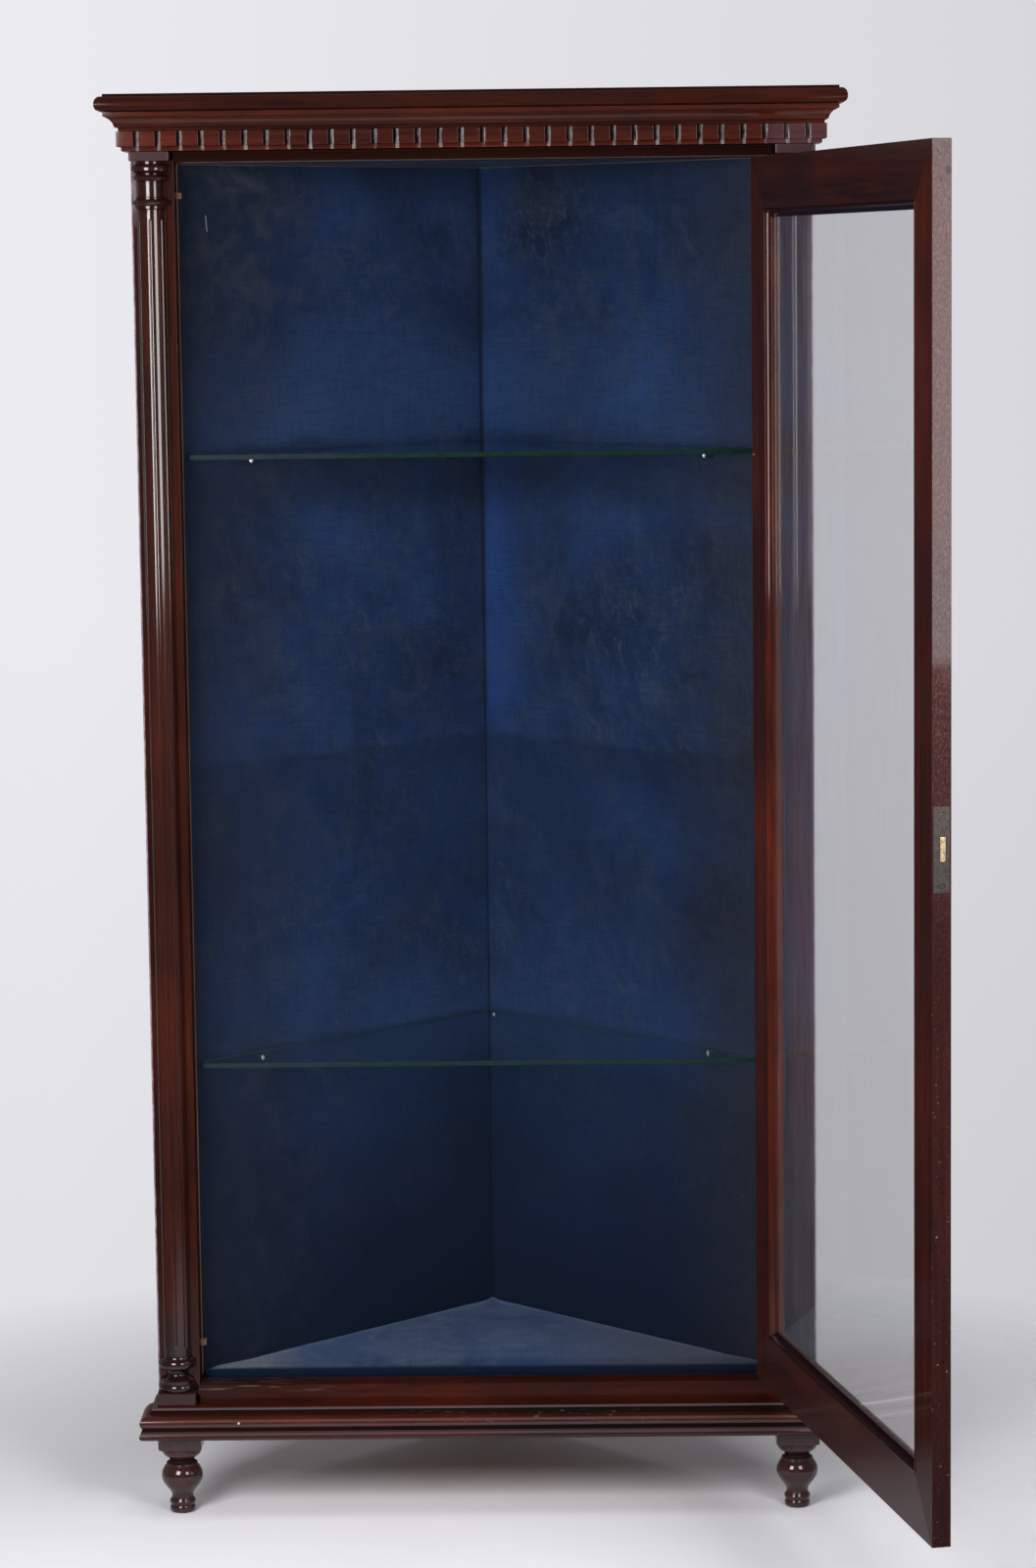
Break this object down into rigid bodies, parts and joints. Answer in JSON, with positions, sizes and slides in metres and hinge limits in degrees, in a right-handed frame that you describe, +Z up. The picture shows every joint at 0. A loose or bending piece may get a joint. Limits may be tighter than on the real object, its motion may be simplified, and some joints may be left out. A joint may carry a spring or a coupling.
{
  "type": "corner display cupboard",
  "caption": "Glazed mahogany corner cupboard on turned feet, lined inside, with glass shelves and one locking door that swings open.",
  "frame": {"origin": "centre of the rear foot's sole, on the floor", "axes": "+X to the right seen from the front, +Y to the back corner, +Z up"},
  "size_m": [0.933, 1.1085, 1.7055],
  "materials": {
    "mahogany": "French-polished dark red mahogany, worn at the edges",
    "carcase_wood": "plain stained softwood, hidden from the front",
    "velvet": "worn dark blue velvet",
    "brass": "aged brass",
    "shelf_glass": "clear plate with a green edge",
    "door_glass": "clear old window glass",
    "buffer": "tan leather or wood stop"
  },
  "bodies": {
    "carcase": {"left_front_post": "mahogany", "right_front_post": "mahogany", "left_back_board": "carcase_wood", "right_back_board": "carcase_wood", "rear_corner_post": "carcase_wood", "floor_board": "carcase_wood", "ceiling_board": "carcase_wood", "bottom_rail": "mahogany", "header_rail": "mahogany", "base_rail": "carcase_wood", "base_rear_block": "carcase_wood", "base_moulding": "mahogany", "dentil_course": "mahogany", "cavetto_moulding": "mahogany", "cornice_top": "mahogany", "left_column": "mahogany", "left_column_plinth": "mahogany", "left_column_abacus": "mahogany", "left_wall_lining": "velvet", "left_front_foot": "mahogany", "right_column": "mahogany", "right_column_plinth": "mahogany", "right_column_abacus": "mahogany", "right_wall_lining": "velvet", "right_front_foot": "mahogany", "rear_foot": "mahogany", "ceiling_lining": "velvet", "floor_pad": "velvet", "upper_shelf": "shelf_glass", "upper_shelf_pin_left": "brass", "upper_shelf_pin_right": "brass", "upper_shelf_pin_rear": "brass", "lower_shelf": "shelf_glass", "lower_shelf_pin_left": "brass", "lower_shelf_pin_right": "brass", "lower_shelf_pin_rear": "brass", "upper_buffer": "buffer", "lower_buffer": "buffer", "strike_plate": "brass", "upper_hinge_post_leaf": "brass", "upper_hinge_pin": "brass", "lower_hinge_post_leaf": "brass", "lower_hinge_pin": "brass"},
    "door": {"door_lock_stile": "mahogany", "door_hinge_stile": "mahogany", "door_top_rail": "mahogany", "door_bottom_rail": "mahogany", "door_glass": "door_glass", "glazing_bead_lock": "mahogany", "glazing_bead_hinge": "mahogany", "glazing_bead_top": "mahogany", "glazing_bead_bottom": "mahogany", "lock_faceplate": "brass", "lock_case": "brass", "lock_screw_upper": "brass", "lock_screw_lower": "brass", "keyhole_escutcheon": "brass", "upper_hinge_door_leaf": "brass", "lower_hinge_door_leaf": "brass"},
    "bolt": {"lock_bolt": "brass"}
  },
  "joints": [
    {"name": "door_hinge", "type": "hinge", "parent": "carcase", "child": "door", "pos_m": [0.34915, -0.34657, 0.8935], "axis": [0, 0, 1], "range_deg": [-102.57, 25]},
    {"name": "lock_bolt_slide", "type": "slide", "parent": "door", "child": "bolt", "axis": [0.2176, -0.976, 0], "range_m": [0, 0.008]}
  ]
}
